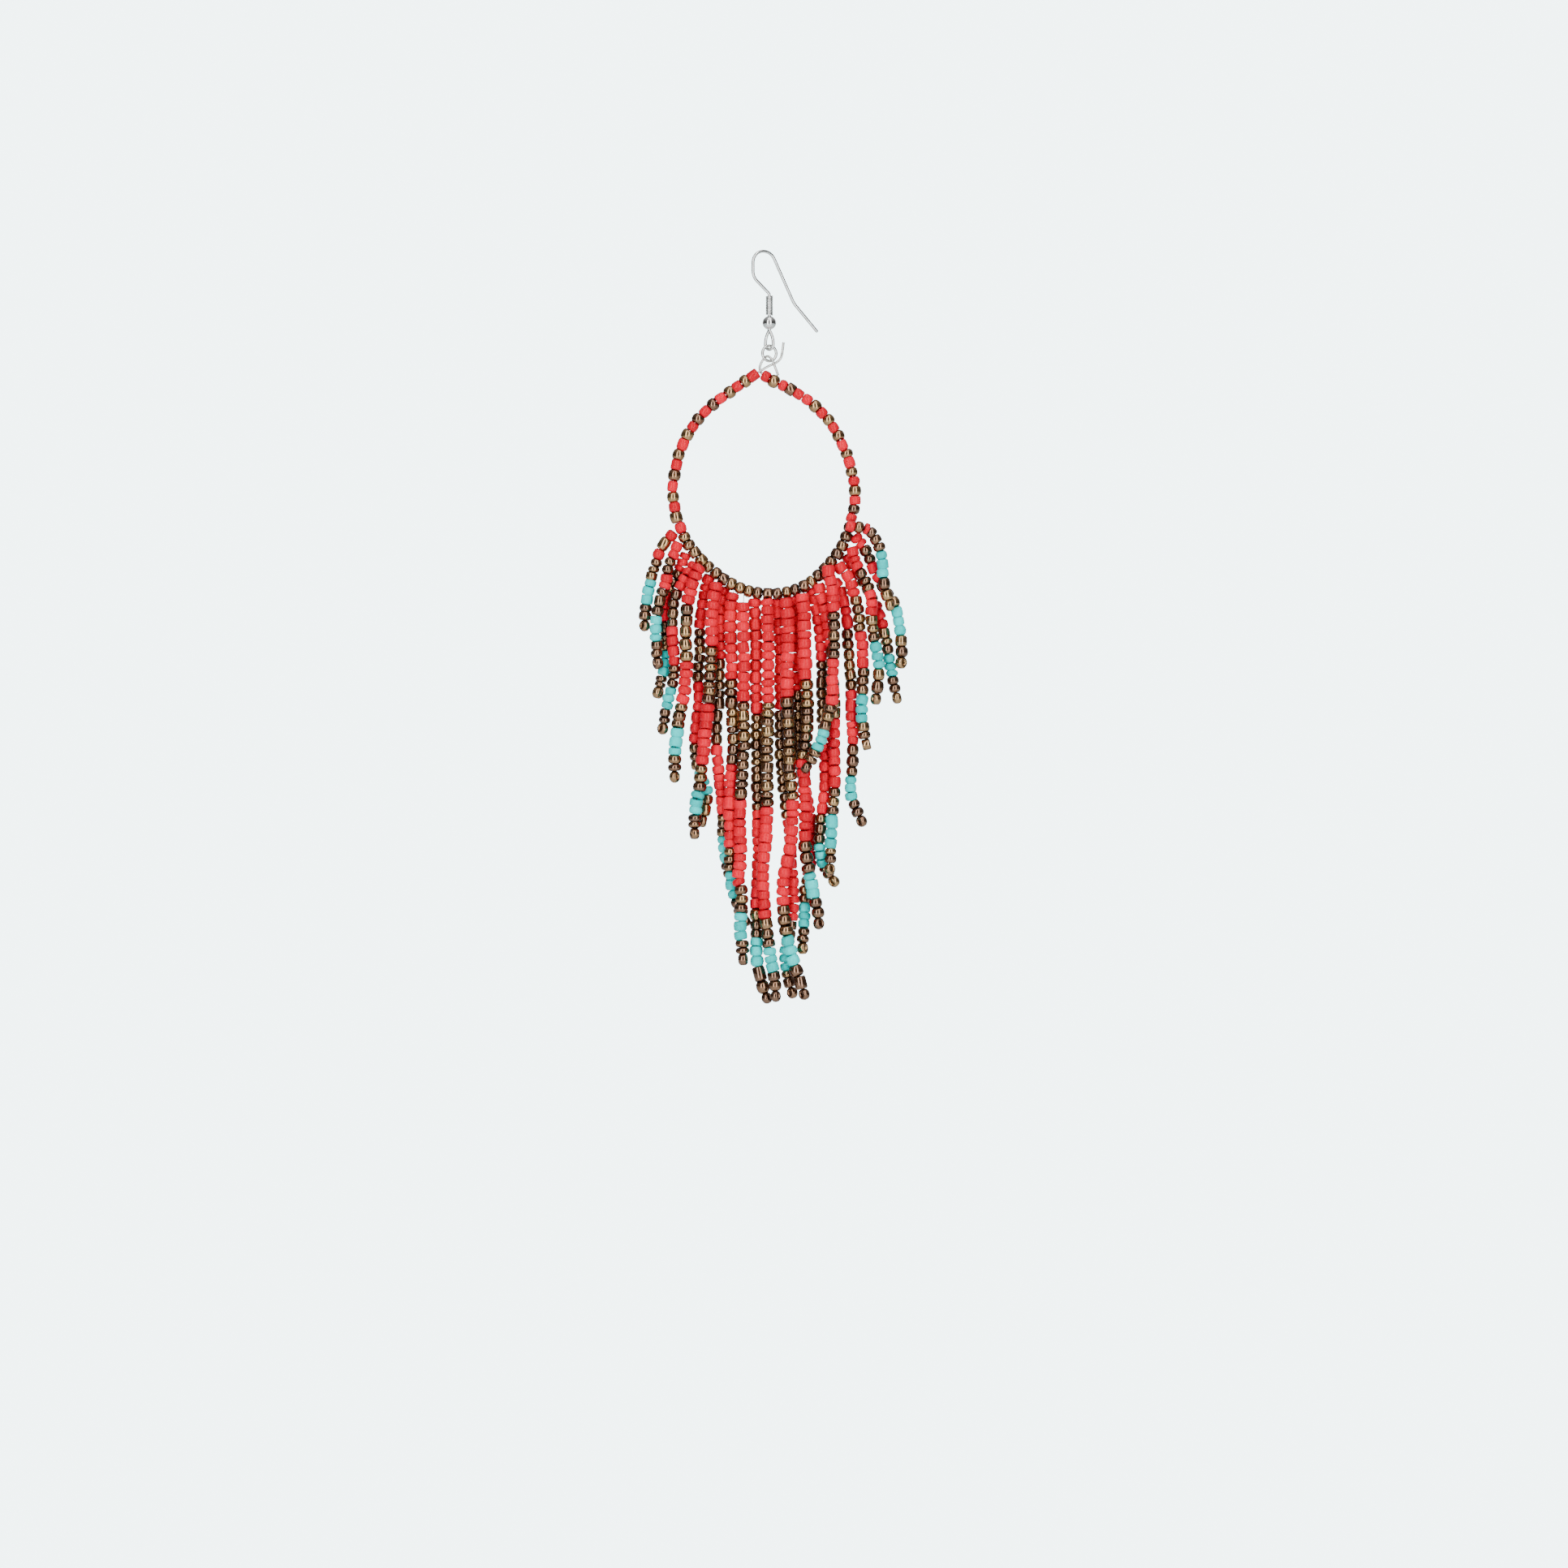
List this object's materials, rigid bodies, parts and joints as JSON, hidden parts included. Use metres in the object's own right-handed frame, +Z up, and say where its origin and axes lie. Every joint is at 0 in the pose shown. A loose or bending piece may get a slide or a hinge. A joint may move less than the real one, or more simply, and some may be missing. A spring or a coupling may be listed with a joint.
{
  "type": "earring",
  "caption": "Drop earring: an ear wire with coil and ball carries a wire hoop of seed beads with a long hanging fringe of red, bronze and turquoise bead strings.",
  "frame": {"origin": "inside of the ear wire's top bend, where the ear lobe carries it", "axes": "+Z up, -Y towards the viewer of the hoop's front, +X to the viewer's right; the hoop lies in the XZ plane"},
  "size_m": [0.0473, 0.0085, 0.1331],
  "materials": {
    "hook_silver": "polished silver wire",
    "coil_silver": "polished, darker between the turns",
    "ball_silver": "polished",
    "ring_silver": "polished silver wire",
    "wire_silver": "drawn wire, softly polished",
    "coral_glass": "glossy opaque coral red glass",
    "bronze_glass": "glossy metallic bronze glass"
  },
  "bodies": {
    "hook": {"ear_hook": "hook_silver", "hook_coil": "coil_silver", "hook_ball": "ball_silver"},
    "ring": {"jump_ring": "ring_silver"},
    "drop": {"hoop_wire": "wire_silver", "hoop_beads_left": "coral_glass", "hoop_beads_bottom": "bronze_glass", "hoop_beads_right": "coral_glass", "strand_01": "coral_glass", "strand_02": "coral_glass", "strand_03": "coral_glass", "strand_04": "coral_glass", "strand_05": "coral_glass", "strand_06": "coral_glass", "strand_07": "coral_glass", "strand_08": "coral_glass", "strand_09": "coral_glass", "strand_10": "coral_glass", "strand_11": "coral_glass", "strand_12": "coral_glass", "strand_13": "coral_glass", "strand_14": "coral_glass", "strand_15": "coral_glass", "strand_16": "coral_glass", "strand_17": "coral_glass", "strand_18": "coral_glass", "strand_19": "coral_glass", "strand_20": "coral_glass", "strand_21": "coral_glass", "strand_22": "coral_glass", "strand_23": "coral_glass", "strand_24": "coral_glass", "strand_25": "coral_glass"}
  },
  "joints": [
    {"name": "ring_swing", "type": "hinge", "parent": "hook", "child": "ring", "pos_m": [0.0007, 0.00036, -0.01698], "axis": [0.809, -0.5878, 0], "range_deg": [-35, 35]},
    {"name": "drop_swing", "type": "hinge", "parent": "ring", "child": "drop", "pos_m": [0.0007, 0.00036, -0.01768], "axis": [0.4384, -0.8988, 0], "range_deg": [-40, 25]}
  ]
}
